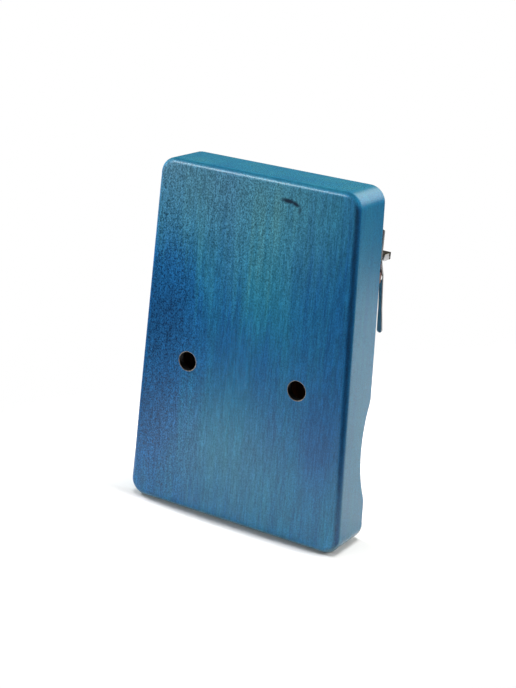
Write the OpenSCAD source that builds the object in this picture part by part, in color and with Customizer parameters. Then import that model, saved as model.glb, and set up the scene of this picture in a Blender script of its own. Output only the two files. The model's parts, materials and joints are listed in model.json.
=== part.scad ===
// Seventeen-key thumb piano: a hollow box of stained wood that stands on its bottom end.
// It is laid out lying on its back: x runs across, y from the bottom end to the top end,
// z out of the front face, with z = 0 in the middle of the thickness.
// stand() turns it upright, so that y becomes up (+Z) and the front faces -Y.

/* [Body] */
// height from the bottom end to the top end
body_h = 185; // [165:0.5:210]
// width across the bottom end
bottom_w = 127; // [122:0.1:145]
// width across the top end
top_w = 112.7; // [110:0.1:122]
// thickness from the front face to the back face
body_t = 29.4; // [25:0.1:40]
// radius of the four outline corners
corner_r = 8.5; // [7:0.1:14]
// radius of the rounded front and back edges
edge_round = 3.1; // [1.5:0.1:3.8]
// thickness of the back board
back_t = 4; // [3.9:0.1:6]
// thickness of the front board over the hollow
front_t = 5.5; // [4.5:0.1:7]
// thickness of the rim round the hollow
rim_t = 10; // [8:0.5:13]
// corner radius of the hollow
hollow_r = 6; // [3:0.5:12]

/* [Holes] */
// diameter of the sound hole in the front board
sound_hole_d = 30; // [18:0.5:36]
// height of the sound hole's centre
sound_hole_y = 54; // [45:0.5:56]
// diameter of the two tone holes in the back board
tone_hole_d = 10; // [6:0.1:14]
// distance between the centres of the tone holes
tone_hole_gap = 64.6; // [40:0.1:78]
// height of the tone holes' centres
tone_hole_y = 81.6; // [60:0.1:110]

/* [Palm scallops] */
// height of the deepest place of each scallop
scallop_y = 49.4; // [45:0.1:60]
// depth of each scallop at the side wall
scallop_depth = 6.9; // [3:0.1:9]
// radius of the scallop's curve along the side wall
scallop_r = 56; // [45:0.5:70]
// slope of the scallop's floor, rising inward from the side wall
scallop_slope = 24; // [18:0.5:40]
// depth over which the scallop eases into the flat front
scallop_blend = 1; // [0.4:0.1:1.5]

/* [Bridge and backrest] */
// distance of the bridge rod's axis below the top end
bridge_down = 47.6; // [45:0.1:55]
// length of the bridge
bridge_len = 109.2; // [109:0.1:110]
// width of the bridge at its foot
bridge_foot = 8.4; // [6:0.1:12]
// width of the bridge at its top
bridge_top = 4.6; // [3:0.1:5]
// height of the bridge's wood over the front face
bridge_h = 7.2; // [6.4:0.1:8]
// diameter of the bridge rod
bridge_rod_d = 2.6; // [1.6:0.1:2.8]
// distance of the backrest rod's axis above the bridge rod's axis
backrest_up = 21.1; // [19:0.1:23]
// width of the backrest at its foot
backrest_foot = 6.4; // [5:0.1:8]
// width of the backrest at its top
backrest_top = 4; // [2.6:0.1:4.6]
// diameter of the backrest rod
backrest_rod_d = 2.2; // [1.6:0.1:2.4]

/* [Pressure bar] */
// distance of the pressure bar's middle plane above the bridge rod's axis
bar_up = 10.4; // [9.6:0.1:11.6]
// length of the pressure bar
bar_len = 109.4; // [109:0.1:112]
// width of the pressure bar, also the diameter of its rounded lower edge
bar_w = 4; // [3.6:0.1:4.4]
// height of the pressure bar's top over the front face
bar_top = 15; // [13.5:0.1:16]
// diameter of the screw shanks
screw_d = 2; // [1.6:0.1:2.2]
// length of the screw shanks under the head
screw_len = 28; // [24:0.5:30]
// diameter of the screw heads
screw_head_d = 3.6; // [3:0.1:4]
// height of the screw heads
screw_head_h = 1.9; // [1.4:0.1:2.4]
// width of the hexagon socket across its corners
screw_socket = 1.8; // [1.4:0.1:1.9]
// height of the inner brace along the body
brace_len = 36; // [26:0.5:40]
// thickness of the inner brace
brace_t = 11; // [9:0.5:13]

/* [Tines] */
// distance from one tine to the next
tine_pitch = 6.7; // [6.6:0.01:6.75]
// width of a tine under the pressure bar
tine_root_w = 2.2; // [1.8:0.05:2.6]
// width of a tine at its tip
tine_tip_w = 2.9; // [2.6:0.05:4.4]
// length of the widened end of a tine
tine_flare = 14; // [8:0.5:18]
// thickness of a tine
tine_t = 1.2; // [1:0.05:1.4]
// slope of the tines between the pressure bar and the bridge
ramp_slope = 23.5; // [22:0.1:24]
// slope of the tines where they leave the bridge
free_slope = 8; // [6:0.1:12]
// radius of the bend over the bridge, on the inside
crest_r = 16; // [10:0.5:20]
// extra upward curl of each tine between the bridge and its tip
tine_curl = 3; // [2:0.1:6]
// free length of the lowest, middle tine
longest_free = 66.2; // [60:0.1:67]
// length of the tails above the bridge rod's axis
tail_len = 24.6; // [23.6:0.1:28]
// radius of the bend under the pressure bar, on the inside
bend_r = 14; // [8:0.5:20]

/* [Fits] */
// gap between a tine and the bridge rod
rest_gap = 0.05; // [0.03:0.01:0.1]
// gap between a tine and the pressure bar at rest
bar_gap = 0.62; // [0.6:0.01:0.8]
// gap between a tail and the backrest rod at rest
tail_gap = 0.9; // [0.86:0.01:1.1]
// gap between a screw shank and its holes
screw_gap = 0.1; // [0.05:0.01:0.15]
// gap between the brace and the rim
brace_gap = 0.4; // [0.2:0.1:1]

/* [Hidden] */
$fn = 96;
stain = [0.19, 0.42, 0.55];
brown = [0.38, 0.2, 0.11];
pale = [0.72, 0.54, 0.36];
steel = [0.8, 0.82, 0.85];
front = body_t / 2;
seam = back_t - body_t / 2;
taper = atan((bottom_w - top_w) / 2 / body_h);

// half the width of the body at height y
function half_w(y) = bottom_w / 2 - y * tan(taper);

// centres of the corner arcs of the outline, moved inward by d, clockwise from bottom left
function half_in(y, d) = half_w(y) - d / cos(taper);
function arc_centres(d) = [
    [-half_in(d, d), d],
    [-half_in(body_h - d, d), body_h - d],
    [half_in(body_h - d, d), body_h - d],
    [half_in(d, d), d]
];

// direction of the outline's edge i, and the way out of the body there
function run(i) = [90 - taper, 0, taper - 90, 180][i % 4];
function out_of(i) = [cos(run(i) + 90), sin(run(i) + 90)];

// points on an arc from angle a to angle b
function arc(c, r, a, b, steps) = [for (i = [0:steps]) let (t = a + (b - a) * i / steps) c + r * [cos(t), sin(t)]];

// outline moved in by inset, clockwise from the bottom left, with corners of radius r in short steps
// and with extra points on the two long sides, at the given parts of their length
function turn(i) = (run(i + 3) - run(i) + 360) % 360;
function corner(c, i, r, steps) = arc(c[i], r, run(i + 3) + 90, run(i + 3) + 90 - turn(i), steps);
function side(p, q, parts) = [for (f = parts) p + (q - p) * f];
function outline(inset, r, steps, parts) = let (
    c = arc_centres(inset + r),
    left = r * out_of(0),
    right = r * out_of(2)
) concat(
    corner(c, 0, r, steps),
    side(c[0] + left, c[1] + left, parts),
    corner(c, 1, r, steps),
    corner(c, 2, r, steps),
    side(c[2] + right, c[3] + right, [for (i = [len(parts) - 1:-1:0]) 1 - parts[i]]),
    corner(c, 3, r, steps)
);
function body_ring(d, parts) = outline(d, max(corner_r - d, 1), corner_steps, parts);

// depth of the palm scallop at distance d from the side wall and height y: a cone that runs out smoothly
function cone_r(d) = scallop_r - d * tan(scallop_slope);
function cone(d, y) = abs(y - scallop_y) >= cone_r(d) ? -scallop_blend
    : sqrt(pow(cone_r(d), 2) - pow(y - scallop_y, 2)) - scallop_r + scallop_depth;
function eased(m) = m <= -scallop_blend ? 0 : m >= scallop_blend ? m : pow(m + scallop_blend, 2) / 4 / scallop_blend;
function dip(d, y) = eased(cone(d, y));

// rings of the front part: side wall, rounded edge, then the scallops' floors up to the flat front
reach = (scallop_depth + scallop_blend) / tan(scallop_slope) + 0.5;
round_steps = 8;
corner_steps = 12;
floor_steps = 8;
palm_parts = [for (i = [0:30]) 0.03 + 0.49 * i / 30];
function in_at(a) = edge_round * (1 - cos(a));
function down_at(a) = edge_round * (1 - sin(a));
function front_ring(d, down) = [for (p = body_ring(d, palm_parts)) [p[0], p[1], front - down - dip(d, p[1])]];
function front_rings() = concat(
    [[for (p = body_ring(0, palm_parts)) [p[0], p[1], seam]]],
    [for (i = [0:round_steps]) let (a = 90 * i / round_steps) front_ring(in_at(a), down_at(a))],
    [for (i = [1:floor_steps]) front_ring(edge_round + (reach - edge_round) * i / floor_steps, 0)]
);

// rings of the back board, from the flat back over the rounded edge to the seam
function flat_ring(d, z) = [for (p = body_ring(d, [])) [p[0], p[1], z]];
function back_rings() = concat(
    [for (i = [round_steps:-1:0]) let (a = 90 * i / round_steps) flat_ring(in_at(a), down_at(a) - front)],
    [flat_ring(0, seam)]
);

// tines in order of pitch: the lowest in the middle, then in turn left and right of it
scale_steps = [0, 2, 4, 5, 7, 9, 11];
middle = 9;
function place(n) = n - middle;
function order(n) = place(n) < 0 ? -2 * place(n) - 1 : 2 * place(n);
function semitones(k) = scale_steps[k % 7] + 12 * floor(k / 7);
function free_len(n) = longest_free * pow(2, -semitones(order(n)) / 24);

bridge_y = body_h - bridge_down;
backrest_y = bridge_y + backrest_up;
bar_y = bridge_y + bar_up;
tail_y = bridge_y + tail_len;

// side view of a tine: it crests over the bridge rod, drops to the bend under the bar and runs out level
function upward(slope) = [sin(slope), cos(slope)];
axis_z = front + bridge_h;
rest_slope = (ramp_slope + free_slope) / 2;
crest = [bridge_y, axis_z] + (bridge_rod_d / 2 + rest_gap - crest_r) * upward(rest_slope);
crest_len = (crest_r + tine_t / 2) * (rest_slope - free_slope) * PI / 180;
ramp_from = crest + crest_r * upward(ramp_slope);
nose_r = bar_w / 2;
nose_in = bend_r - nose_r - bar_gap;
bend_y = bar_y + nose_in * sin(ramp_slope / 2);
ramp = (bend_y - ramp_from[0] - (bend_r + tine_t) * sin(ramp_slope)) / cos(ramp_slope);
bend_z = ramp_from[1] - ramp * sin(ramp_slope) + (bend_r + tine_t) * cos(ramp_slope);
nose_z = bend_z - nose_in * cos(ramp_slope / 2);
tail_z = bend_z - bend_r - tine_t;
backrest_z = tail_z - tail_gap - backrest_rod_d / 2;
backrest_len = 2 * (half_w(backrest_y) - edge_round);
screw_x = [-6.5, -2.5, 2.5, 6.5] * tine_pitch;

function curl_r(n) = (free_len(n) - crest_len) / (tine_curl * PI / 180) - tine_t / 2;
function curl_at(n) = crest + (crest_r + tine_t + curl_r(n)) * upward(free_slope);
function tip_y(n) = curl_at(n)[0] - (curl_r(n) + tine_t / 2) * sin(free_slope + tine_curl);
function after(points) = [for (i = [1:len(points) - 1]) points[i]];

module stand() rotate([90, 0, 0]) children();

// a straight shape along x, drawn as its section with y to the right and z up
module along_x(length) rotate([90, 0, 90]) linear_extrude(length, center = true) children();

// solid between rings of points that all run the same way round, closed by cross strips at both ends
module skin(rings) {
    n = len(rings[0]);
    top = (len(rings) - 1) * n;
    polyhedron(
        points = [for (r = rings) each r],
        faces = concat(
            [for (j = [0:len(rings) - 2], k = [0:n - 1]) let (a = j * n + k, b = j * n + (k + 1) % n) [a, b, b + n]],
            [for (j = [0:len(rings) - 2], k = [0:n - 1]) let (a = j * n + k, b = j * n + (k + 1) % n) [a, b + n, a + n]],
            [for (k = [0:n / 2 - 2]) each [[n - 2 - k, k + 1, k], [n - 1 - k, n - 2 - k, k]]],
            [for (k = [0:n / 2 - 2]) let (a = top + k, z = top + n - 1 - k) each [[a, a + 1, z - 1], [a, z - 1, z]]]
        )
    );
}

// hollow inside the rim, from z0 to z1
module hollow(inset, z0, z1) translate([0, 0, z0]) linear_extrude(z1 - z0) polygon(outline(inset, hollow_r, 6, []));

module screw_holes(z0, z1) {
    for (x = screw_x) translate([x, bar_y, z0]) cylinder(h = z1 - z0, d = screw_d + 2 * screw_gap);
}

module sound_box() color(stain) stand() difference() {
    skin(front_rings());
    hollow(rim_t, seam - 1, front - front_t);
    translate([0, sound_hole_y, front - front_t - 1]) cylinder(h = front_t + 2, d = sound_hole_d);
    screw_holes(front + bar_top - screw_len - screw_gap, front + 1);
}

module back_board() color(stain) stand() difference() {
    skin(back_rings());
    for (s = [-1, 1]) translate([s * tone_hole_gap / 2, tone_hole_y, -front - 1])
        cylinder(h = back_t + 2, d = tone_hole_d);
}

module bridge_brace() color(pale) stand() difference() {
    intersection() {
        hollow(rim_t + brace_gap, front - front_t - brace_t, front - front_t);
        translate([-bottom_w / 2, bar_y - brace_len / 2, front - front_t - brace_t - 1])
            cube([bottom_w, brace_len, brace_t + 2]);
    }
    screw_holes(front - front_t - brace_t - 1, front);
}

module strip(y, foot, top, h, rod_d, length) difference() {
    along_x(length) polygon([
        [y - foot / 2, front],
        [y + foot / 2, front],
        [y + foot / 2, front + 0.35 * h],
        [y + top / 2, front + h],
        [y - top / 2, front + h],
        [y - foot / 2, front + 0.35 * h]
    ]);
    translate([0, y, front + h]) rotate([0, 90, 0]) cylinder(h = length + 2, d = rod_d, center = true);
}

module rod(y, z, d, length) translate([0, y, z]) rotate([0, 90, 0]) cylinder(h = length, d = d, center = true);

module bridge() color(brown) stand()
    strip(bridge_y, bridge_foot, bridge_top, bridge_h, bridge_rod_d, bridge_len);

module bridge_rod() color(steel) stand() rod(bridge_y, axis_z, bridge_rod_d, bridge_len);

module backrest() color(brown) stand()
    strip(backrest_y, backrest_foot, backrest_top, backrest_z - front, backrest_rod_d, backrest_len);

module backrest_rod() color(steel) stand() rod(backrest_y, backrest_z, backrest_rod_d, backrest_len);

module pressure_bar() color(steel) stand() difference() {
    union() {
        translate([-bar_len / 2, bar_y - nose_r, nose_z]) cube([bar_len, bar_w, front + bar_top - nose_z]);
        translate([0, bar_y, nose_z]) rotate([0, 90, 0]) cylinder(h = bar_len, r = nose_r, center = true);
    }
    screw_holes(front, front + bar_top + 1);
}

module screw() {
    translate([0, 0, -screw_len]) cylinder(h = screw_len, d = screw_d);
    difference() {
        union() {
            cylinder(h = screw_head_h / 2, d = screw_head_d);
            translate([0, 0, screw_head_h / 2])
                cylinder(h = screw_head_h / 2, d1 = screw_head_d, d2 = screw_head_d - screw_head_h / 2);
        }
        translate([0, 0, 0.45 * screw_head_h]) cylinder(h = screw_head_h, d = screw_socket, $fn = 6);
    }
}

module pressure_screws() color(steel) stand()
    for (x = screw_x) translate([x, bar_y, front + bar_top]) screw();

// side view of tine n: level tail, bend under the bar, crest over the bridge, free end curling upward
module ribbon(n) {
    bend = [bend_y, bend_z];
    r = curl_r(n);
    down = 270 - ramp_slope;
    away = 270 - free_slope;
    along_x(tine_tip_w + 2) polygon(concat(
        [[tail_y, tail_z + tine_t]],
        arc(bend, bend_r, 270, down, 8),
        arc(crest, crest_r + tine_t, 90 - ramp_slope, 90 - free_slope, 6),
        after(arc(curl_at(n), r, away, away - tine_curl, 12)),
        arc(curl_at(n), r + tine_t, away - tine_curl, away, 12),
        after(arc(crest, crest_r, 90 - free_slope, 90 - ramp_slope, 6)),
        arc(bend, bend_r + tine_t, down, 270, 8),
        [[tail_y, tail_z]]
    ));
}

// outline of a tine from the front: even as far as its widened end, then a round tip
module blade(n) {
    r = tine_tip_w / 2;
    translate([0, 0, front]) linear_extrude(60) polygon(concat(
        [
            [-tine_root_w / 2, tip_y(n) + tine_flare],
            [-tine_root_w / 2, tail_y + 1],
            [tine_root_w / 2, tail_y + 1],
            [tine_root_w / 2, tip_y(n) + tine_flare]
        ],
        arc([0, tip_y(n) + r], r, 0, -180, 16)
    ));
}

module tine(n) color(steel) stand() translate([place(n) * tine_pitch, 0, 0]) intersection() {
    ribbon(n);
    blade(n);
}

sound_box();
back_board();
bridge_brace();
bridge();
bridge_rod();
backrest();
backrest_rod();
pressure_bar();
pressure_screws();
tine(1);  // tine_01
tine(2);  // tine_02
tine(3);  // tine_03
tine(4);  // tine_04
tine(5);  // tine_05
tine(6);  // tine_06
tine(7);  // tine_07
tine(8);  // tine_08
tine(9);  // tine_09
tine(10);  // tine_10
tine(11);  // tine_11
tine(12);  // tine_12
tine(13);  // tine_13
tine(14);  // tine_14
tine(15);  // tine_15
tine(16);  // tine_16
tine(17);  // tine_17
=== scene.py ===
import json
import math

import bpy
import bmesh
from mathutils import Matrix, Vector

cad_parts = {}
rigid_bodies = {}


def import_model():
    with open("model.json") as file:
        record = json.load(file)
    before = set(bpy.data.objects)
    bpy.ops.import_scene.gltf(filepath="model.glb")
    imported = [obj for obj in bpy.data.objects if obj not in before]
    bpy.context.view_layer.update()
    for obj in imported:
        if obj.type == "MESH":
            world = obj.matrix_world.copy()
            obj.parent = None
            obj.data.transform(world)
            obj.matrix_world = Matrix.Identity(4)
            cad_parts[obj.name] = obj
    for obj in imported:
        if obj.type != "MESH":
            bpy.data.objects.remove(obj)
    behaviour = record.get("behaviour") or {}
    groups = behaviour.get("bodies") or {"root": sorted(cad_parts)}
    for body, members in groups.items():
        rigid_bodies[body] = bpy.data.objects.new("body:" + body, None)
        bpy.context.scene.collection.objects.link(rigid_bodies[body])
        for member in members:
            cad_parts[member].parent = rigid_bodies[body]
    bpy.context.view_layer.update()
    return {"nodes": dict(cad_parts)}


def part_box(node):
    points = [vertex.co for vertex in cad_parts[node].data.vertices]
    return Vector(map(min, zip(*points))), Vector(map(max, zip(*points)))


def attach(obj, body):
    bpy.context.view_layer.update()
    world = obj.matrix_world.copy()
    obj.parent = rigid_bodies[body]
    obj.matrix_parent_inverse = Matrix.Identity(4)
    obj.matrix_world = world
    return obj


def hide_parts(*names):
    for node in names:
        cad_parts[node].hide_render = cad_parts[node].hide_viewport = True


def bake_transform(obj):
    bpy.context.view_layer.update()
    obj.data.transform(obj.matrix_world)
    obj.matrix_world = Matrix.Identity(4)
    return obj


for leftover in list(bpy.data.objects):  # the start-up cube, lamp and camera
    bpy.data.objects.remove(leftover)
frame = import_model()
mm = 0.001
near = 0.01  # millimetres, when two places count as one

# all measures below are in millimetres, as on a drawing, and become metres where they are used
body = {"height": 185.0, "bottomWidth": 127.0, "topWidth": 112.7, "thick": 29.4, "frontBoard": 5.5,
        "rim": 10.0, "soundHole": 30.0, "soundHoleUp": 54.0, "toneHole": 10.0, "toneHoleSide": 32.3,
        "toneHoleUp": 81.6}
front = body["thick"] / 2


def halfWidth(up):
    return body["bottomWidth"] / 2 - up * (body["bottomWidth"] - body["topWidth"]) / 2 / body["height"]


# small tools

def linear(code):  # sRGB hex to the linear colour that a shader takes
    parts = [int(code[i:i + 2], 16) / 255 for i in (1, 3, 5)]
    return [c / 12.92 if c <= 0.04045 else ((c + 0.055) / 1.055) ** 2.4 for c in parts] + [1.0]


def addNode(tree, kind, inputs=None, **settings):  # a node among the inputs gives its first live output
    node = tree.nodes.new(kind)
    for name, value in settings.items():
        setattr(node, name, value)
    for key, value in (inputs or {}).items():
        if isinstance(value, bpy.types.Node):
            value = next(socket for socket in value.outputs if socket.enabled)
        if isinstance(value, bpy.types.NodeSocket):
            tree.links.new(value, node.inputs[key])
        else:
            node.inputs[key].default_value = value
    return node


def newMaterial(name):
    made = bpy.data.materials.new(name)
    made.use_nodes = True
    made.node_tree.nodes.clear()
    return made, made.node_tree


def deselectAll():
    if bpy.context.object and bpy.context.object.mode != "OBJECT":
        bpy.ops.object.mode_set(mode="OBJECT")
    bpy.ops.object.select_all(action="DESELECT")


def activate(piece):
    deselectAll()
    piece.select_set(True)
    bpy.context.view_layer.objects.active = piece


def activateNone():  # before each new primitive
    deselectAll()
    bpy.context.view_layer.objects.active = None


def pickEdges(piece, test):  # in edit mode: selects the edges whose two ends pass the test
    bpy.ops.mesh.select_mode(type="EDGE")
    bpy.ops.mesh.select_all(action="DESELECT")
    edit = bmesh.from_edit_mesh(piece.data)
    for edge in edit.edges:
        edge.select_set(test(edge.verts[0].co / mm, edge.verts[1].co / mm))
    edit.select_flush_mode()
    bmesh.update_edit_mesh(piece.data)


def applyPlace(piece):
    activate(piece)
    bpy.ops.object.transform_apply(location=True, rotation=True, scale=True)


def smoothOff(piece, angle):  # soft shading that keeps flat faces flat
    activate(piece)
    bpy.ops.object.shade_smooth_by_angle(angle=math.radians(angle))
    weighted = piece.modifiers.new("flatFaces", "WEIGHTED_NORMAL")
    weighted.keep_sharp = True
    weighted.weight = 100
    bpy.ops.object.modifier_apply(modifier=weighted.name)


def give(piece, *finishes):
    piece.data.materials.clear()
    for finish in finishes:
        piece.data.materials.append(finish)


# finishes

def grainSpace(tree, across, along):  # stretches a pattern along the grain, which runs up the body
    where = addNode(tree, "ShaderNodeTexCoord").outputs["Object"]
    size = (1 / (across * mm), 1 / (across * mm), 1 / (along * mm))
    return addNode(tree, "ShaderNodeMapping", {"Vector": where, "Scale": size})


def softSpot(tree, where, place, reach, turn=0.0):  # 1 in the middle of an upright ellipse, 0 at its rim
    space = addNode(tree, "ShaderNodeMapping",
                    {"Vector": where, "Location": (place[0] * mm, 0, place[1] * mm),
                     "Rotation": (0, math.radians(turn), 0), "Scale": (reach[0] * mm, 1.0, reach[1] * mm)},
                    vector_type="TEXTURE")
    away = addNode(tree, "ShaderNodeVectorMath", {0: space}, operation="LENGTH")
    return addNode(tree, "ShaderNodeMapRange", {"Value": away, "From Min": 1.0, "From Max": 0.0},
                   interpolation_type="SMOOTHSTEP")


noiseSpan = {"From Min": 0.3, "From Max": 0.7}  # where most values of a noise pattern lie

# the stain goes from deep blue over blue and teal to green as its tone rises from 0 to 1
stain = {"deep": "#0f3a62", "blue": "#144f7d", "teal": "#1f6984", "green": "#3a7577",
         # patterns, across and along the grain
         "band": (17, 190), "streak": (2.3, 46), "fibre": (0.75, 8.5), "speck": (0.5, 0.75), "sway": 6,
         # the tone, and what is added to it where the wood faces that way; on the upright round edges it is
         # painted shade
         "tone": 0.26, "byBand": 0.34, "byStreak": 0.07, "edges": (0.54, 0.7), "paintedRoundEdgeShade": -0.22,
         "inFront": 0.2, "onTop": 0.1,
         # painted light and shade by height, at the foot and on the top; pores, threads and gloss
         "foot": 0.77, "head": 1.21, "paintedFootLift": (12, 0.11), "paintedTopShade": -0.3, "paintedTopEdgeShade": -0.36,
         "pores": (1.21, 3.52), "thread": (0.45, 1.25), "gloss": (0.235, 0.275)}
# clouds of the hand-rubbed stain: place across and up, reach across and up, towards teal (+) or deep blue (-)
clouds = [(35, 158, 34, 60, 0.16), (-8, 146, 26, 70, 0.26), (-30, 172, 44, 40, 0.14), (0, 186, 90, 66, 0.16),
          (52, 106, 34, 54, -0.31), (8, 36, 50, 66, 0.16), (-50, 80, 30, 70, -0.06), (12, 100, 40, 44, -0.1),
          (58, 52, 30, 50, -0.24), (-42, 16, 46, 44, 0.14), (23, 124, 18, 66, 0.12), (-20, 122, 22, 40, 0.06),
          (-5, 128, 18, 36, 0.07)]
# where the pores lie open, and where the stain is rubbed greyish, partly as painted sheen: place, reach and how
# much
openPores = [(52, 95, 40, 170, 1.0), (10, 165, 75, 85, 0.5)]
wornAndSheen = {"colour": "#677f84", "roof": 0.02, "paintedSoleHighlight": 0.55,
        "spots": [(8, 36, 58, 44, 0.12), (2, 190, 82, 84, 0.28), (46, 176, 44, 50, 0.16),
                  (54, 186, 22, 20, 0.14)]}
# the dark scuff near the top of the back: place, reach, turn and how dark
scuff = {"colour": "#1c2c3c",
         "strokes": [(-18.6, 175.2, 6.4, 1.8, -3, 1.35), (-22.4, 174.4, 4.6, 1.7, -20, 1.2),
                     (-25.0, 171.6, 1.4, 4.4, -6, 0.7)]}


def makeStainedWood():
    # mahogany under blue stain and satin lacquer: teal clouds on royal blue, upright streaks, fine open
    # pores and a soft gloss, with painted light and shade by height, on the top and on the round edges
    made, tree = newMaterial("blue_stained_mahogany_satin_lacquer_painted_shade")
    space = addNode(tree, "ShaderNodeTexCoord")
    where = space.outputs["Object"]
    height = addNode(tree, "ShaderNodeSeparateXYZ", {"Vector": where}).outputs["Z"]
    normal = addNode(tree, "ShaderNodeSeparateXYZ", {"Vector": space.outputs["Normal"]})
    facing, rising = normal.outputs["Y"], normal.outputs["Z"]
    band, streak, fibre, speck = [
        addNode(tree, "ShaderNodeTexNoise", {"Vector": grainSpace(tree, *stain[name]), "Scale": 1.0,
                                             "Detail": detail, "Roughness": rough})
        for name, detail, rough in (("band", 2.0, 0.55), ("streak", 3.0, 0.6), ("fibre", 2.0, 0.6),
                                    ("speck", 1.0, 0.6))]

    # which way the wood faces, from 0 to 1
    slant = addNode(tree, "ShaderNodeMath", {0: facing}, operation="ABSOLUTE")
    lean = addNode(tree, "ShaderNodeMath", {0: rising}, operation="ABSOLUTE")
    broad, turnIn, turnOut, upright, inFront, behind, onTop, nearTop, onSole = [
        addNode(tree, "ShaderNodeMapRange", {"Value": value, "From Min": none, "From Max": full})
        for value, none, full in ((slant, 0.55, 0.95), (slant, 0.15, 0.45), (slant, 0.995, 0.8),
                                  (lean, 0.35, 0.1), (facing, -0.5, -0.9), (facing, 0.8, 0.95),
                                  (rising, 0.6, 0.95), (rising, 0.45, 0.75), (rising, -0.15, -0.5))]
    # painted shade on the upright round edges, and on the round edge under the top
    roundEdge = addNode(tree, "ShaderNodeMath", {0: turnIn, 1: turnOut}, operation="MULTIPLY")
    paintedEdgeShade = addNode(tree, "ShaderNodeMath", {0: roundEdge, 1: upright}, operation="MULTIPLY")
    paintedTopEdgeShade = addNode(tree, "ShaderNodeMath", {0: roundEdge, 1: nearTop}, operation="MULTIPLY")

    # tone of the stain
    swing = addNode(tree, "ShaderNodeMapRange", {"Value": streak, **noiseSpan, "To Min": -1.0})
    sway = addNode(tree, "ShaderNodeMath", {0: swing, 1: stain["sway"] * mm}, operation="MULTIPLY")
    shift = addNode(tree, "ShaderNodeCombineXYZ", {"Z": sway})
    ragged = addNode(tree, "ShaderNodeVectorMath", {0: where, 1: shift})  # cloud rims run out along the grain
    tone = addNode(tree, "ShaderNodeMath", {0: band, 1: stain["byBand"], 2: stain["tone"]},
                   operation="MULTIPLY_ADD")
    for across, up, reachAcross, reachUp, amount in clouds:
        spot = softSpot(tree, ragged, (across, up), (reachAcross, reachUp))
        tone = addNode(tree, "ShaderNodeMath", {0: spot, 1: amount, 2: tone}, operation="MULTIPLY_ADD")
    edge = addNode(tree, "ShaderNodeMapRange", {"Value": band, **noiseSpan, "To Min": stain["edges"][0],
                                                "To Max": stain["edges"][1]})
    tone = addNode(tree, "ShaderNodeMix", {0: broad, 2: edge, 3: tone}, data_type="FLOAT")
    # the tone lowered on the upright round edges is painted shade
    for mask, amount in ((paintedEdgeShade, "paintedRoundEdgeShade"), (swing, "byStreak"), (inFront, "inFront"), (onTop, "onTop")):
        tone = addNode(tree, "ShaderNodeMath", {0: mask, 1: stain[amount], 2: tone}, operation="MULTIPLY_ADD")
    ramp = addNode(tree, "ShaderNodeValToRGB", {"Fac": tone})
    stops = ramp.color_ramp.elements
    stops[0].position, stops[1].position = 0.02, 0.36
    stops[0].color, stops[1].color = linear(stain["deep"]), linear(stain["blue"])
    stops.new(0.72).color = linear(stain["teal"])
    stops.new(1.0).color = linear(stain["green"])

    # light and dark: pores and threads, and painted light and shade from foot to head, at the foot and on the
    # top
    opened = 0.0
    for across, up, reachAcross, reachUp, amount in openPores:
        spot = softSpot(tree, ragged, (across, up), (reachAcross, reachUp))
        part = addNode(tree, "ShaderNodeMath", {0: spot, 1: amount}, operation="MULTIPLY")
        opened = addNode(tree, "ShaderNodeMath", {0: opened, 1: part}, operation="MAXIMUM")
    opened = addNode(tree, "ShaderNodeMath", {0: opened, 1: broad}, operation="MULTIPLY")
    closedPores, deepPores = stain["pores"]
    poreDepth = addNode(tree, "ShaderNodeMapRange", {"Value": opened, "From Max": 0.7, "To Min": closedPores,
                                                     "To Max": deepPores})
    threadDepth = addNode(tree, "ShaderNodeMapRange", {"Value": broad, "To Min": stain["thread"][0],
                                                       "To Max": stain["thread"][1]})
    # painted shade towards the foot, painted light towards the head, and a painted lift over the lowest
    # millimetres
    paintedLightByHeight = addNode(tree, "ShaderNodeMapRange", {"Value": height, "From Max": body["height"] * mm,
                                                "To Min": stain["foot"], "To Max": stain["head"]})
    paintedFootLift = addNode(tree, "ShaderNodeMapRange", {"Value": height, "From Min": stain["paintedFootLift"][0] * mm,
                                                "From Max": 0.0, "To Max": stain["paintedFootLift"][1]})
    shade = addNode(tree, "ShaderNodeMath", {0: paintedLightByHeight, 1: paintedFootLift}, operation="ADD")
    for pattern, depth in ((speck, poreDepth), (fibre, threadDepth)):
        centred = addNode(tree, "ShaderNodeMath", {0: pattern, 1: 0.5}, operation="SUBTRACT")
        factor = addNode(tree, "ShaderNodeMath", {0: centred, 1: depth, 2: 1.0}, operation="MULTIPLY_ADD")
        shade = addNode(tree, "ShaderNodeMath", {0: shade, 1: factor}, operation="MULTIPLY")
    # painted shade on the top face and on the round edge under it
    for mask, amount in ((onTop, "paintedTopShade"), (paintedTopEdgeShade, "paintedTopEdgeShade")):
        factor = addNode(tree, "ShaderNodeMath", {0: mask, 1: stain[amount], 2: 1.0},
                         operation="MULTIPLY_ADD")
        shade = addNode(tree, "ShaderNodeMath", {0: shade, 1: factor}, operation="MULTIPLY")

    # rubbed greyish places, partly painted sheen, a painted highlight on the bottom round edge, and the scuff
    # on the back
    thinAndSheen = 0.0
    for across, up, reachAcross, reachUp, amount in wornAndSheen["spots"]:
        spot = softSpot(tree, ragged, (across, up), (reachAcross, reachUp))
        thinAndSheen = addNode(tree, "ShaderNodeMath", {0: spot, 1: amount, 2: thinAndSheen}, operation="MULTIPLY_ADD")
    thinAndSheen = addNode(tree, "ShaderNodeMath", {0: thinAndSheen, 1: broad}, operation="MULTIPLY")
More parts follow.
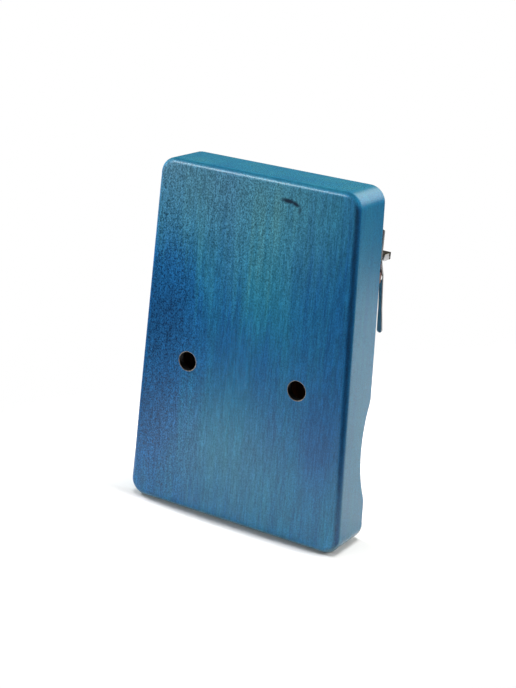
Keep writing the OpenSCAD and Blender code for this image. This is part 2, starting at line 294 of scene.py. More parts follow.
    # a little greying on the top, and a painted highlight along the bottom round edge
    for mask, amount in ((onTop, "roof"), (onSole, "paintedSoleHighlight")):
        thinAndSheen = addNode(tree, "ShaderNodeMath", {0: mask, 1: wornAndSheen[amount], 2: thinAndSheen}, operation="MULTIPLY_ADD")
    greyed = addNode(tree, "ShaderNodeMix", {0: thinAndSheen, 6: ramp, 7: linear(wornAndSheen["colour"])}, data_type="RGBA")
    grained = addNode(tree, "ShaderNodeVectorMath", {0: greyed, "Scale": shade}, operation="SCALE")
    rubbed = 0.0
    for across, up, reachAcross, reachUp, turn, press in scuff["strokes"]:
        spot = softSpot(tree, where, (across, up), (reachAcross, reachUp), turn)
        stroke = addNode(tree, "ShaderNodeMath", {0: spot, 1: press}, operation="MULTIPLY")
        rubbed = addNode(tree, "ShaderNodeMath", {0: rubbed, 1: stroke}, operation="MAXIMUM")
    rubbed = addNode(tree, "ShaderNodeMath", {0: rubbed, 1: behind}, operation="MULTIPLY")
    marked = addNode(tree, "ShaderNodeMix", {0: rubbed, 6: grained, 7: linear(scuff["colour"])},
                     data_type="RGBA")

    relief = addNode(tree, "ShaderNodeMath", {0: speck, 1: fibre}, operation="ADD")
    bump = addNode(tree, "ShaderNodeBump", {"Height": relief, "Strength": 0.16, "Distance": 0.12 * mm})
    gloss = addNode(tree, "ShaderNodeMapRange", {"Value": band, **noiseSpan, "To Min": stain["gloss"][0],
                                                 "To Max": stain["gloss"][1]})
    lacquer = addNode(tree, "ShaderNodeBsdfPrincipled", {"Base Color": marked, "Roughness": gloss,
                                                         "IOR": 1.42, "Normal": bump})
    addNode(tree, "ShaderNodeOutputMaterial", {"Surface": lacquer})
    return made


bare = {"light": "#8a6242", "dark": "#5f4029", "fibre": (0.9, 14), "band": (7, 120)}


def makeBareWood():
    # unfinished mahogany inside the box: dull warm brown with short fibres, no gloss
    made, tree = newMaterial("bare_mahogany")
    band, fibre = [addNode(tree, "ShaderNodeTexNoise", {"Vector": grainSpace(tree, *bare[name]), "Scale": 1.0,
                                                        "Detail": 2.0}) for name in ("band", "fibre")]
    both = addNode(tree, "ShaderNodeMix", {0: 0.5, 2: band, 3: fibre}, data_type="FLOAT")
    tone = addNode(tree, "ShaderNodeValToRGB", {"Fac": both})
    for stop, place, name in zip(tone.color_ramp.elements, (0.35, 0.65), ("dark", "light")):
        stop.position, stop.color = place, linear(bare[name])
    bump = addNode(tree, "ShaderNodeBump", {"Height": fibre, "Strength": 0.3, "Distance": 0.2 * mm})
    shader = addNode(tree, "ShaderNodeBsdfPrincipled", {"Base Color": tone, "Roughness": 0.75, "IOR": 1.5,
                                                        "Normal": bump})
    addNode(tree, "ShaderNodeOutputMaterial", {"Surface": shader})
    return made


bore = {"black": "#1e1e20", "brown": "#2c2523", "fleck": 1.2}


def makeBoreShade():
    # painted shade in the bore of a tone hole: matt near-black with a breath of brown wood under it
    made, tree = newMaterial("bore_painted_shade")
    where = addNode(tree, "ShaderNodeTexCoord").outputs["Object"]
    fleck = addNode(tree, "ShaderNodeTexNoise", {"Vector": where, "Scale": 1 / (bore["fleck"] * mm),
                                                 "Detail": 2.0})
    tone = addNode(tree, "ShaderNodeValToRGB", {"Fac": fleck})
    for stop, place, name in zip(tone.color_ramp.elements, (0.4, 0.75), ("black", "brown")):
        stop.position, stop.color = place, linear(bore[name])
    shader = addNode(tree, "ShaderNodeBsdfPrincipled", {"Base Color": tone, "Roughness": 0.7, "IOR": 1.5})
    addNode(tree, "ShaderNodeOutputMaterial", {"Surface": shader})
    return made


rim = {"pale": "#8d867c", "dull": "#5d5953", "fleck": 0.8}


def makeWornRim():
    # sanded edge of a tone hole, where the stain is rubbed through: a pale grey-tan thread round the black
    made, tree = newMaterial("worn_hole_edge")
    where = addNode(tree, "ShaderNodeTexCoord").outputs["Object"]
    fleck = addNode(tree, "ShaderNodeTexNoise", {"Vector": where, "Scale": 1 / (rim["fleck"] * mm),
                                                 "Detail": 1.0})
    tone = addNode(tree, "ShaderNodeValToRGB", {"Fac": fleck})
    for stop, place, name in zip(tone.color_ramp.elements, (0.35, 0.6), ("dull", "pale")):
        stop.position, stop.color = place, linear(rim[name])
    shader = addNode(tree, "ShaderNodeBsdfPrincipled", {"Base Color": tone, "Roughness": 0.6, "IOR": 1.5})
    addNode(tree, "ShaderNodeOutputMaterial", {"Surface": shader})
    return made


# its lines, along and across the strip
rosewood = {"light": "#6b3c22", "dark": "#3c1d10", "fibre": (12, 0.5), "band": (60, 2.6)}


def makeRosewood():
    # oiled rosewood strip: red-brown with long dark lines along the strip and a low sheen
    made, tree = newMaterial("oiled_rosewood")
    where = addNode(tree, "ShaderNodeTexCoord").outputs["Object"]
    lines = []
    for along, across in (rosewood["band"], rosewood["fibre"]):
        size = (1 / (along * mm), 1 / (across * mm), 1 / (across * mm))
        space = addNode(tree, "ShaderNodeMapping", {"Vector": where, "Scale": size})
        lines.append(addNode(tree, "ShaderNodeTexNoise", {"Vector": space, "Scale": 1.0, "Detail": 3.0,
                                                          "Roughness": 0.6}))
    both = addNode(tree, "ShaderNodeMix", {0: 0.4, 2: lines[0], 3: lines[1]}, data_type="FLOAT")
    tone = addNode(tree, "ShaderNodeValToRGB", {"Fac": both})
    for stop, place, name in zip(tone.color_ramp.elements, (0.38, 0.62), ("dark", "light")):
        stop.position, stop.color = place, linear(rosewood[name])
    bump = addNode(tree, "ShaderNodeBump", {"Height": lines[1], "Strength": 0.2, "Distance": 0.1 * mm})
    shader = addNode(tree, "ShaderNodeBsdfPrincipled", {"Base Color": tone, "Roughness": 0.42, "IOR": 1.5,
                                                        "Normal": bump})
    addNode(tree, "ShaderNodeOutputMaterial", {"Surface": shader})
    return made


chrome = {"colour": "#c9cacd", "haze": 3.0, "gloss": (0.05, 0.14)}


def makeChrome():
    # chromium plate on a ground bar: a clear mirror with a faint, uneven haze
    made, tree = newMaterial("chromium_plate")
    where = addNode(tree, "ShaderNodeTexCoord").outputs["Object"]
    haze = addNode(tree, "ShaderNodeTexNoise", {"Vector": where, "Scale": 1 / (chrome["haze"] * mm),
                                                "Detail": 3.0})
    gloss = addNode(tree, "ShaderNodeMapRange", {"Value": haze, "From Min": 0.3, "From Max": 0.8,
                                                 "To Min": chrome["gloss"][0], "To Max": chrome["gloss"][1]})
    shader = addNode(tree, "ShaderNodeBsdfPrincipled", {"Base Color": linear(chrome["colour"]),
                                                        "Metallic": 1.0, "Roughness": gloss})
    addNode(tree, "ShaderNodeOutputMaterial", {"Surface": shader})
    return made


# the brush lines are drawn coarser than real ones, so that they show
spring = {"colour": "#acaeb1", "brush": (0.16, 40), "gloss": (0.12, 0.26)}


def makeSpringSteel():
    # ground and polished spring steel: a soft grey mirror with fine brush lines along the strip
    made, tree = newMaterial("polished_spring_steel")
    brush = addNode(tree, "ShaderNodeTexNoise", {"Vector": grainSpace(tree, *spring["brush"]), "Scale": 1.0,
                                                 "Detail": 2.0})
    gloss = addNode(tree, "ShaderNodeMapRange", {"Value": brush, **noiseSpan, "To Min": spring["gloss"][0],
                                                 "To Max": spring["gloss"][1]})
    bump = addNode(tree, "ShaderNodeBump", {"Height": brush, "Strength": 0.05, "Distance": 0.05 * mm})
    shader = addNode(tree, "ShaderNodeBsdfPrincipled", {"Base Color": linear(spring["colour"]),
                                                        "Metallic": 1.0, "Roughness": gloss,
                                                        "Normal": bump})
    addNode(tree, "ShaderNodeOutputMaterial", {"Surface": shader})
    return made


stainedWood = makeStainedWood()
bareWood = makeBareWood()
boreShadeBlack = makeBoreShade()
wornRim = makeWornRim()
brownWood = makeRosewood()
chromePlate = makeChrome()
springSteel = makeSpringSteel()
print("finishes made")

# the two boards of the body: merged copies of the solids, with eased hole edges and smooth round edges

boards = {"mergeWithin": 0.001, "flatWithin": 0.3, "smoothUpTo": 40, "holeEase": 0.35, "soundEase": 0.6,
          "ringWithin": 0.05, "rimWithin": 0.4, "hollowWithin": 0.1,
          "boreLean": 0.2, "backLean": 0.97, "innerLean": -0.9}  # how far a face looks to the back


def onRing(point, centre, radius, depth):
    away = math.hypot(point.x - centre[0], point.z - centre[1]) - radius
    return max(abs(away), abs(point.y - depth)) < boards["ringWithin"]


def makeBoard(node, name, rings):
    board = bpy.data.objects.new(name, frame["nodes"][node].data.copy())
    bpy.context.scene.collection.objects.link(board)
    activate(board)
    bpy.ops.mesh.customdata_custom_splitnormals_clear()
    bpy.ops.object.mode_set(mode="EDIT")
    bpy.ops.mesh.select_all(action="SELECT")
    bpy.ops.mesh.remove_doubles(threshold=boards["mergeWithin"] * mm)
    bpy.ops.mesh.mark_sharp(clear=True)
    bpy.ops.mesh.dissolve_limited(angle_limit=math.radians(boards["flatWithin"]))
    for centre, radius, depth, ease in rings:
        pickEdges(board, lambda a, b: onRing(a, centre, radius, depth) and onRing(b, centre, radius, depth))
        bpy.ops.mesh.bevel(offset=ease * mm, segments=3, affect="EDGES")
    bpy.ops.object.mode_set(mode="OBJECT")
    smoothOff(board, boards["smoothUpTo"])
    return board


def markFaces(board, test, index):
    for face in board.data.polygons:
        if test(face.center / mm, face.normal):
            face.material_index = index


def inHollow(centre):
    inside = body["rim"] / 2
    deep = centre.y > body["frontBoard"] - front - boards["hollowWithin"]
    narrow = halfWidth(centre.z) - abs(centre.x) > inside
    return deep and narrow and inside < centre.z < body["height"] - inside


toneHoles = [(side * body["toneHoleSide"], body["toneHoleUp"]) for side in (-1, 1)]


def fromBore(centre):  # outward from the wall of the nearer tone hole
    away = min(math.hypot(centre.x - across, centre.z - up) for across, up in toneHoles)
    return away - body["toneHole"] / 2


soundRing = ((0, body["soundHoleUp"]), body["soundHole"] / 2, -front, boards["soundEase"])
soundBox = makeBoard("sound_box", "soundBox", [soundRing])
give(soundBox, stainedWood, bareWood)
markFaces(soundBox, lambda c, n: inHollow(c), 1)
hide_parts("sound_box")
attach(soundBox, "body")

toneRings = [(centre, body["toneHole"] / 2, front, boards["holeEase"]) for centre in toneHoles]
backBoard = makeBoard("back_board", "backBoard", toneRings)
give(backBoard, stainedWood, bareWood, boreShadeBlack, wornRim)
markFaces(backBoard, lambda c, n: n.y < boards["innerLean"], 1)
# the bore walls take the near-black painted shade
markFaces(backBoard, lambda c, n: fromBore(c) < boards["ringWithin"] and abs(n.y) < boards["boreLean"], 2)
markFaces(backBoard, lambda c, n: fromBore(c) < boards["rimWithin"]
          and boards["boreLean"] < n.y < boards["backLean"], 3)
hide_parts("back_board")
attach(backBoard, "body")
give(frame["nodes"]["bridge_brace"], bareWood)
print("body boards made")

# bridge and backrest: a strip with sloping sides and a round rod let into its top

strips = {"footStraight": 0.35, "ease": 0.35, "bridgeTop": 4.6, "backrestTop": 4.0, "smoothUpTo": 50}
rods = {"sides": 48, "ease": 0.3, "smoothUpTo": 50}


def makeStrip(node, name, topWidth):
    low, high = [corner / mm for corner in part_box(node)]
    tall = high.y - low.y
    activateNone()
    bpy.ops.mesh.primitive_cube_add(size=1, location=(low + high) / 2 * mm)
    strip = bpy.context.object
    strip.name = strip.data.name = name
    strip.scale = (high - low) * mm
    applyPlace(strip)
    bpy.ops.object.mode_set(mode="EDIT")
    bpy.ops.mesh.select_all(action="SELECT")
    bpy.ops.mesh.bisect(plane_co=(0, (high.y - strips["footStraight"] * tall) * mm, 0), plane_no=(0, 1, 0))
    edit = bmesh.from_edit_mesh(strip.data)
    middle = (low.z + high.z) / 2 * mm
    for corner in edit.verts:  # draws the front edges in to the narrow top
        if corner.co.y < (low.y + near) * mm:
            corner.co.z = middle + math.copysign(topWidth / 2 * mm, corner.co.z - middle)
    bmesh.update_edit_mesh(strip.data)
    pickEdges(strip, lambda a, b: min(a.y, b.y) < high.y - near)
    bpy.ops.mesh.bevel(offset=strips["ease"] * mm, segments=3, affect="EDGES")
    bpy.ops.object.mode_set(mode="OBJECT")
    smoothOff(strip, strips["smoothUpTo"])
    give(strip, brownWood)
    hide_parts(node)
    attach(strip, "body")


def makeRod(node, name):
    low, high = [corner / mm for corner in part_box(node)]
    activateNone()
    bpy.ops.mesh.primitive_cylinder_add(vertices=rods["sides"], radius=(high.z - low.z) / 2 * mm,
                                        depth=(high.x - low.x) * mm, location=(low + high) / 2 * mm,
                                        rotation=(0, math.pi / 2, 0))
    rod = bpy.context.object
    rod.name = rod.data.name = name
    applyPlace(rod)
    bpy.ops.object.mode_set(mode="EDIT")
    pickEdges(rod, lambda a, b: abs(a.x - b.x) < near)
    bpy.ops.mesh.bevel(offset=rods["ease"] * mm, segments=3, affect="EDGES")
    bpy.ops.object.mode_set(mode="OBJECT")
    smoothOff(rod, rods["smoothUpTo"])
    give(rod, chromePlate)
    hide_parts(node)
    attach(rod, "body")


makeStrip("bridge", "bridgeStrip", strips["bridgeTop"])
makeStrip("backrest", "backrestStrip", strips["backrestTop"])
makeRod("bridge_rod", "bridgeRod")
makeRod("backrest_rod", "backrestRod")
print("bridge and backrest made")

# pressure bar and its screws

bar = {"nose": 1.7, "ease": 0.2, "seat": 0.55, "endChamfer": (3.0, 0.53), "longer": 0.6, "lower": 0.5,
       "creaseWithin": 0.3, "smoothUpTo": 40}
barLow, barHigh = [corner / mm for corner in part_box("pressure_bar")]
barMiddle = (barLow.z + barHigh.z) / 2
barLow.x -= bar["longer"]
barHigh.x += bar["longer"]
barHigh.z -= bar["lower"]
slantTo = barLow.y + bar["endChamfer"][0]
activateNone()
bpy.ops.mesh.primitive_cube_add(size=1, location=(0, (barLow.y + barHigh.y + bar["seat"]) / 2 * mm,
                                                  (barLow.z + barHigh.z) / 2 * mm))
pressureBar = bpy.context.object
pressureBar.name = pressureBar.data.name = "pressureBar"
pressureBar.scale = ((barHigh.x - barLow.x) * mm, (barHigh.y + bar["seat"] - barLow.y) * mm,
                     (barHigh.z - barLow.z) * mm)
applyPlace(pressureBar)
bpy.ops.object.mode_set(mode="EDIT")
bpy.ops.mesh.select_all(action="SELECT")
bpy.ops.mesh.bisect(plane_co=(0, slantTo * mm, 0), plane_no=(0, 1, 0))
edit = bmesh.from_edit_mesh(pressureBar.data)
for corner in edit.verts:  # takes the front corners of both ends off at a slant
    if corner.co.y < (barLow.y + near) * mm:
        corner.co.x -= math.copysign(bar["endChamfer"][1] * mm, corner.co.x)
bmesh.update_edit_mesh(pressureBar.data)
pickEdges(pressureBar, lambda a, b: min(a.y, b.y) > barHigh.y and abs(a.x - b.x) > near)
bpy.ops.mesh.bevel(offset=bar["nose"] * mm, segments=10, affect="EDGES")  # round nose that lies on the tines
pickEdges(pressureBar, lambda a, b: max(a.y, b.y) < barLow.y + near or abs(a.x - b.x) < near)
bpy.ops.mesh.bevel(offset=bar["ease"] * mm, segments=3, affect="EDGES")
pickEdges(pressureBar, lambda a, b: max(abs(a.y - slantTo), abs(b.y - slantTo)) < bar["creaseWithin"]
          and abs(a.z - b.z) > bar["creaseWithin"])
bpy.ops.mesh.mark_sharp()
bpy.ops.object.mode_set(mode="OBJECT")
smoothOff(pressureBar, bar["smoothUpTo"])
give(pressureBar, chromePlate)
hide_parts("pressure_bar")
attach(pressureBar, "body")

screw = {"shank": 2.0, "head": 3.6, "headTall": 1.9, "ease": 0.45, "socket": 1.8, "socketDeep": 1.05,
         "pitch": 0.4, "threadDeep": 0.16, "threadLong": 18, "steps": 20, "smoothUpTo": 35,
         "places": (-43.55, -16.75, 16.75, 43.55)}  # across, each halfway between two tines


def makeHead():
    activateNone()
    bpy.ops.mesh.primitive_cylinder_add(vertices=40, radius=screw["head"] / 2 * mm,
                                        depth=screw["headTall"] * mm,
                                        location=(0, 0, screw["headTall"] / 2 * mm))
    head = bpy.context.object
    bpy.ops.object.mode_set(mode="EDIT")
    pickEdges(head, lambda a, b: min(a.z, b.z) > screw["headTall"] / 2 - near)
    bpy.ops.mesh.bevel(offset=screw["ease"] * mm, segments=4, affect="EDGES")
    bpy.ops.object.mode_set(mode="OBJECT")
    applyPlace(head)
    activateNone()
    bpy.ops.mesh.primitive_cylinder_add(vertices=6, radius=screw["socket"] / 2 * mm,
                                        depth=2 * screw["socketDeep"] * mm,
                                        location=(0, 0, screw["headTall"] * mm))
    hexagon = bpy.context.object
    activate(head)
    cut = head.modifiers.new("socket", "BOOLEAN")
    cut.object = hexagon
    cut.operation = "DIFFERENCE"
    bpy.ops.object.modifier_apply(modifier=cut.name)
    bpy.data.objects.remove(hexagon)
    return head


def makeThread():
    activateNone()
    bpy.ops.mesh.primitive_plane_add(size=1)
    thread = bpy.context.object
    bpy.ops.object.mode_set(mode="EDIT")
    bpy.ops.mesh.select_mode(type="VERT")
    bpy.ops.mesh.select_all(action="DESELECT")
    edit = bmesh.from_edit_mesh(thread.data)
    edit.verts.ensure_lookup_table()
    edit.verts[3].select_set(True)
    bmesh.update_edit_mesh(thread.data)
    bpy.ops.mesh.delete(type="VERT")  # a plane without one corner is a V of two edges
    edit = bmesh.from_edit_mesh(thread.data)
    crest, root = screw["shank"] / 2, screw["shank"] / 2 - screw["threadDeep"]
    ends = [0, screw["pitch"]]
    for corner in edit.verts:
        middle = len(corner.link_edges) == 2
        corner.co = (crest * mm, 0, screw["pitch"] / 2 * mm) if middle else (root * mm, 0, ends.pop() * mm)
    bmesh.update_edit_mesh(thread.data)
    bpy.ops.object.mode_set(mode="OBJECT")
    wind = thread.modifiers.new("thread", "SCREW")
    wind.axis = "Z"
    wind.steps = wind.render_steps = screw["steps"]
    wind.iterations = turns = int(screw["threadLong"] / screw["pitch"])
    wind.screw_offset = screw["pitch"] * mm
    bpy.ops.object.modifier_apply(modifier=wind.name)
    bpy.ops.object.mode_set(mode="EDIT")
    bpy.ops.mesh.select_all(action="SELECT")
    bpy.ops.mesh.remove_doubles(threshold=near * mm)
    bpy.ops.mesh.fill_holes(sides=0)
    bpy.ops.mesh.normals_make_consistent(inside=False)
    bpy.ops.object.mode_set(mode="OBJECT")
    thread.location = (0, 0, -turns * screw["pitch"] * mm)
    applyPlace(thread)
    return thread


modelScrew = makeHead()
modelThread = makeThread()
activate(modelScrew)
modelThread.select_set(True)
bpy.ops.object.join()
modelScrew.rotation_euler = (math.pi / 2, 0, 0)
applyPlace(modelScrew)
for count, place in enumerate(screw["places"], 1):
    copied = modelScrew.copy()
    copied.data = modelScrew.data.copy()
    copied.name = copied.data.name = f"barScrew_{count}"
    bpy.context.scene.collection.objects.link(copied)
    copied.location = (place * mm, barLow.y * mm, barMiddle * mm)
    applyPlace(copied)
    smoothOff(copied, screw["smoothUpTo"])
    give(copied, chromePlate)
    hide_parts("pressure_screws")
    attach(copied, "body")
bpy.data.objects.remove(modelScrew)
print("pressure bar and screws made")

# tines: one straight strip is extruded ring by ring, and each copy is bent to its own side view

tine = {"count": 17, "middle": 9, "pitch": 6.7, "longest": 66.2, "rootWidth": 2.2, "tipWidth": 2.9,
        "flare": 14.0, "thick": 1.2, "ease": 0.5, "tipEase": 0.2, "smoothUpTo": 45,
        # side view: the bend under the bar, the crest over the bridge rod and the free end
        "tailUp": 162.0, "barUp": 147.8, "noseIn": 11.38, "bend": 14.0, "rampSlope": 23.5, "bridgeUp": 137.4,
        "axisOut": 7.2, "rod": 1.35, "crest": 16.0, "freeSlope": 8.0, "curl": 3.0, "bendsOver": 22,
        # rings: back from the tail with their share of the width, along each stretch, and round the tip
        "tailEnd": ((0, 0.55), (0.12, 0.85), (0.3, 1.0)), "bendSteps": 8, "freeSteps": 6, "flareSteps": 5,
        "tipTurns": (15, 30, 43, 55, 66, 75, 83)}
scaleSteps = (0, 2, 4, 5, 7, 9, 11)  # half tones


def upward(slope):
    return Vector((math.sin(math.radians(slope)), math.cos(math.radians(slope))))


def freeLength(number):  # the scale climbs outward from the middle, left and right in turn
    side = number - tine["middle"]
    step = -2 * side - 1 if side < 0 else 2 * side
    octave, degree = divmod(step, len(scaleSteps))
    return tine["longest"] * 2 ** (-(scaleSteps[degree] + 12 * octave) / 24)  # pitch goes by 1 / length squared


def stations(number):  # middle line from tail to tip: height, distance from the front, slope, width, rounding
    t, ramp, away = tine["thick"], tine["rampSlope"], tine["freeSlope"]
    rest = (ramp + away) / 2
    crest = Vector((tine["bridgeUp"], tine["axisOut"])) + (tine["rod"] - tine["crest"]) * upward(rest)
    rampFrom = crest + tine["crest"] * upward(ramp)
    bendUp = tine["barUp"] + tine["noseIn"] * math.sin(math.radians(ramp / 2))
    rampLong = (bendUp - rampFrom.x - (tine["bend"] + t) * upward(ramp).x) / upward(ramp).y
    bend = Vector((bendUp, rampFrom.y - rampLong * upward(ramp).x + (tine["bend"] + t) * upward(ramp).y))
    tailOut = bend.y - tine["bend"] - t / 2
    rows = [(tine["tailUp"] - back, tailOut, 0.0, tine["rootWidth"] * wide, tine["ease"])
            for back, wide in tine["tailEnd"]]
    for i in range(tine["bendSteps"] + 1):  # under the bar
        slope = ramp * i / tine["bendSteps"]
        spot = bend - (tine["bend"] + t / 2) * upward(slope)
        rows.append((spot.x, spot.y, slope, tine["rootWidth"], tine["ease"]))
    for i in range(tine["bendSteps"] + 1):  # over the bridge rod
        slope = ramp + (away - ramp) * i / tine["bendSteps"]
        spot = crest + (tine["crest"] + t / 2) * upward(slope)
        rows.append((spot.x, spot.y, slope, tine["rootWidth"], tine["ease"]))
    free = freeLength(number) - (tine["crest"] + t / 2) * math.radians(rest - away)
    middle = free / math.radians(tine["curl"])
    centre = crest + (tine["crest"] + t / 2 + middle) * upward(away)
    radius = tine["tipWidth"] / 2
    flareFrom = free - tine["flare"]
    steps = tine["freeSteps"]
    places = [flareFrom * i / steps for i in range(1, steps + 1)]
    steps = tine["flareSteps"]
    places += [flareFrom + (tine["flare"] - radius) * i / steps for i in range(1, steps + 1)]
    places += [free - radius * (1 - math.sin(math.radians(a))) for a in tine["tipTurns"]]
    for place in places:  # the free end, with its flared round tip
        slope = away + tine["curl"] * place / free
        spot = centre - middle * upward(slope)
        widen = min(max((place - flareFrom) / (tine["flare"] - radius), 0), 1)
        wide = tine["rootWidth"] + (tine["tipWidth"] - tine["rootWidth"]) * widen
        if place > free - radius:
            wide = 2 * math.sqrt(max(radius ** 2 - (place - free + radius) ** 2, 0.0))
        ease = tine["ease"] + (tine["tipEase"] - tine["ease"]) * widen
        rows.append((spot.x, spot.y, slope, wide, min(ease, wide / 2.2)))  # under half the width
    return rows


activateNone()
bpy.ops.mesh.primitive_cube_add(size=1, location=(0, 0, 0))
modelTine = bpy.context.object
modelTine.scale = (tine["rootWidth"] * mm, tine["thick"] * mm, mm)
applyPlace(modelTine)
bpy.ops.object.mode_set(mode="EDIT")
pickEdges(modelTine, lambda a, b: abs(a.z - b.z) > near)
bpy.ops.mesh.bevel(offset=tine["ease"] * mm, segments=5, affect="EDGES")
bpy.ops.mesh.select_mode(type="FACE")
bpy.ops.mesh.select_all(action="DESELECT")
edit = bmesh.from_edit_mesh(modelTine.data)
for face in edit.faces:
    face.select_set(face.normal.z > 0.9)
bmesh.update_edit_mesh(modelTine.data)
for ring in range(len(stations(tine["middle"])) - 2):  # the cube has the first two rings
    bpy.ops.mesh.extrude_region_move(TRANSFORM_OT_translate={"value": (0, 0, mm)})
bpy.ops.object.mode_set(mode="OBJECT")

for number in range(1, tine["count"] + 1):
    strip = modelTine.copy()
    strip.data = modelTine.data.copy()
    strip.name = strip.data.name = f"springTine_{number:02d}"
    bpy.context.scene.collection.objects.link(strip)
    rows = stations(number)
    across = (number - tine["middle"]) * tine["pitch"]
    for corner in strip.data.vertices:
        up, out, slope, wide, ease = rows[round(corner.co.z / mm + 0.5)]
        sideways, lift = [
            math.copysign(size / 2 - ease + (abs(c) / mm - full / 2 + tine["ease"]) * ease / tine["ease"], c)
            for c, size, full in ((corner.co.x, wide, tine["rootWidth"]),
                                  (-corner.co.y, tine["thick"], tine["thick"]))]
        corner.co = Vector((across + sideways, -front - out - lift * upward(slope).y,
                            up + lift * upward(slope).x)) * mm
    activate(strip)
    bpy.ops.object.mode_set(mode="EDIT")
    bpy.ops.mesh.select_all(action="SELECT")
    bpy.ops.mesh.normals_make_consistent(inside=False)
    bpy.ops.object.mode_set(mode="OBJECT")
    smoothOff(strip, tine["smoothUpTo"])
    give(strip, springSteel)
    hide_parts(f"tine_{number:02d}")
    out = (-front - tine["axisOut"]) * mm
    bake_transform(strip)
bpy.data.objects.remove(modelTine)
print("tines made")

# floor, light and camera, in metres

floorPlan = {"size": 3.0, "white": "#dedede", "middle": (-0.105, -0.182, 0), "turn": 60,
             "reach": (0.33, 0.54), "side": 0.4}
activateNone()
bpy.ops.mesh.primitive_plane_add(size=floorPlan["size"], location=(0, 0, 0))
floor = bpy.context.object
floor.name = "floor"
# matt white paper that takes the shadow and fades out into the white room
paper, tree = newMaterial("white_paper_floor")
where = addNode(tree, "ShaderNodeTexCoord").outputs["Object"]
turned = addNode(tree, "ShaderNodeMapping", {"Vector": where, "Location": floorPlan["middle"],
                                             "Rotation": (0, 0, math.radians(floorPlan["turn"])),
                                             "Scale": (1.0, floorPlan["side"], 1.0)}, vector_type="TEXTURE")
reach = addNode(tree, "ShaderNodeVectorMath", {0: turned}, operation="LENGTH")
fade = addNode(tree, "ShaderNodeMapRange", {"Value": reach, "From Min": floorPlan["reach"][0],
                                            "From Max": floorPlan["reach"][1]},
               interpolation_type="SMOOTHSTEP")
sheet = addNode(tree, "ShaderNodeBsdfPrincipled", {"Base Color": linear(floorPlan["white"]), "Roughness": 0.9,
                                                   "Specular IOR Level": 0.0})
clear = addNode(tree, "ShaderNodeBsdfTransparent")
edgeless = addNode(tree, "ShaderNodeMixShader", {0: fade, 1: sheet, 2: clear})
addNode(tree, "ShaderNodeOutputMaterial", {"Surface": edgeless})
give(floor, paper)

# a dim room with one warm glow, in front of a white backdrop
room = {"dim": 0.07, "backdrop": 1.0, "glow": (-0.24, -0.86, 0.44), "glowFrom": (0.87, 0.985),
        "glowLevel": 2.4, "warm": "#fff7e0"}
world = bpy.data.worlds.new("white_studio")
bpy.context.scene.world = world
world.use_nodes = True
tree = world.node_tree
tree.nodes.clear()
direction = addNode(tree, "ShaderNodeTexCoord").outputs["Generated"]
toward = addNode(tree, "ShaderNodeVectorMath", {0: direction, 1: room["glow"]}, operation="DOT_PRODUCT")
level = addNode(tree, "ShaderNodeMapRange", {"Value": toward, "From Min": room["glowFrom"][0],
                                             "From Max": room["glowFrom"][1], "To Min": room["dim"],
                                             "To Max": room["glowLevel"]}, interpolation_type="SMOOTHSTEP")
lightSide = addNode(tree, "ShaderNodeBackground", {"Color": linear(room["warm"]), "Strength": level})
seenSide = addNode(tree, "ShaderNodeBackground", {"Color": (1, 1, 1, 1), "Strength": room["backdrop"]})
ray = addNode(tree, "ShaderNodeLightPath")
choice = addNode(tree, "ShaderNodeMixShader", {0: ray.outputs["Is Camera Ray"], 1: lightSide, 2: seenSide})
addNode(tree, "ShaderNodeOutputWorld", {"Surface": choice})

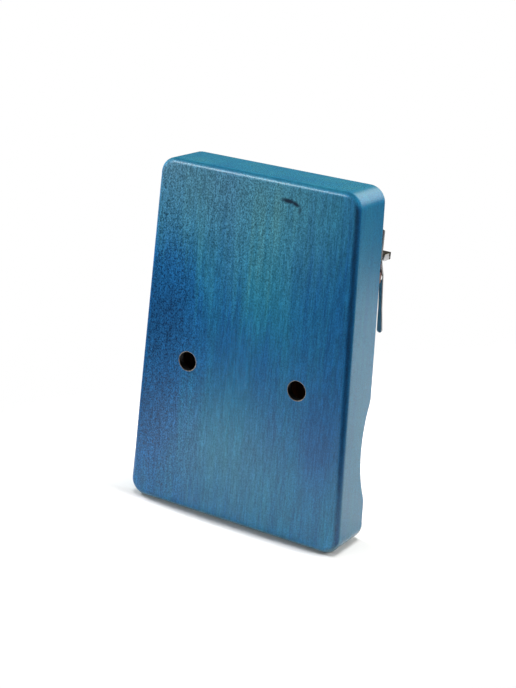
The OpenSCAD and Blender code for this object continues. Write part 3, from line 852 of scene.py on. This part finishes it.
# spot, aim, size across and along, watts, and what it shows on: dull or glossy surfaces, or the steel alone
lamps = {"overheadStrip": ((-0.06, -0.011, 1.1), (-0.06, -0.011, 0), (0.7, 0.035), 16.5, "dull"),  # shadow
         "cameraSoftbox": ((1.5, 1.02, 0.14), (0, 0, 0.11), (0.75, 0.34), 51, "dull"),  # the back
         "frontSoftbox": ((-0.88, -0.5, 0.54), (0, 0, 0.1), (0.5, 0.5), 9, "dull"),  # the front and one side
         "edgeSoftbox": ((0.56, 0.82, 0.78), (0, 0, 0.15), (0.4, 0.4), 6, "glossy"),  # gleam on round edges
         "lowReflector": ((0.46, -0.8, -0.3), (0, -0.02, 0.12), (1.0, 0.65), 1.8, "glossy"),  # from below
         "sideFill": ((0.95, -0.16, 0.5), (0.05, 0, 0.05), (0.4, 0.4), 9, "dull"),  # the other side
         "rightCard": ((0.85, 0.05, 0.0), (0, -0.03, 0.15), (1.4, 0.5), 1.5, "steel"),
         "highCard": ((-0.88, -0.5, 0.54), (0, 0, 0.1), (0.5, 0.5), 9, "steel"),
         "leftCard": ((-0.85, 0.15, -0.04), (0, -0.03, 0.15), (0.9, 0.5), 1.0, "steel"),
         "frontCard": ((0, -1.0, 0.12), (0, -0.03, 0.15), (0.6, 0.28), 0.3, "steel")}
steelPieces = bpy.data.collections.new("steel_pieces")
for piece in bpy.context.scene.objects:
    if piece.type == "MESH" and any(finish in (chromePlate, springSteel) for finish in piece.data.materials):
        steelPieces.objects.link(piece)
for name, (spot, aim, size, power, surfaces) in lamps.items():
    lamp = bpy.data.lights.new(name, "AREA")
    lamp.shape = "RECTANGLE"
    lamp.size, lamp.size_y = size
    lamp.energy = power
    holder = bpy.data.objects.new(name, lamp)
    bpy.context.scene.collection.objects.link(holder)
    holder.location = spot
    holder.rotation_euler = (Vector(aim) - Vector(spot)).to_track_quat("-Z", "Y").to_euler()
    holder.visible_camera = False
    holder.visible_diffuse = surfaces == "dull"
    holder.visible_glossy = surfaces != "dull"
    if surfaces == "steel":
        holder.light_linking.receiver_collection = steelPieces

view = {"lens": 81.186, "sensor": 36, "spot": (-0.3683824, 0.6569853, 0.3362082),
        "right": (-0.85644, -0.50986, 0.08096), "up": (0.22271, -0.22343, 0.94894),
        "back": (-0.46573, 0.83074, 0.30490)}
camera = bpy.data.cameras.new("camera")
camera.lens = view["lens"]
camera.sensor_width = view["sensor"]
camera.clip_start = 0.01
eye = bpy.data.objects.new("camera", camera)
bpy.context.scene.collection.objects.link(eye)
turn = Matrix((view["right"], view["up"], view["back"])).transposed()
eye.matrix_world = Matrix.Translation(view["spot"]) @ turn.to_4x4()
bpy.context.scene.camera = eye
bpy.context.scene.view_settings.view_transform = "Standard"
print("floor, light and camera set")
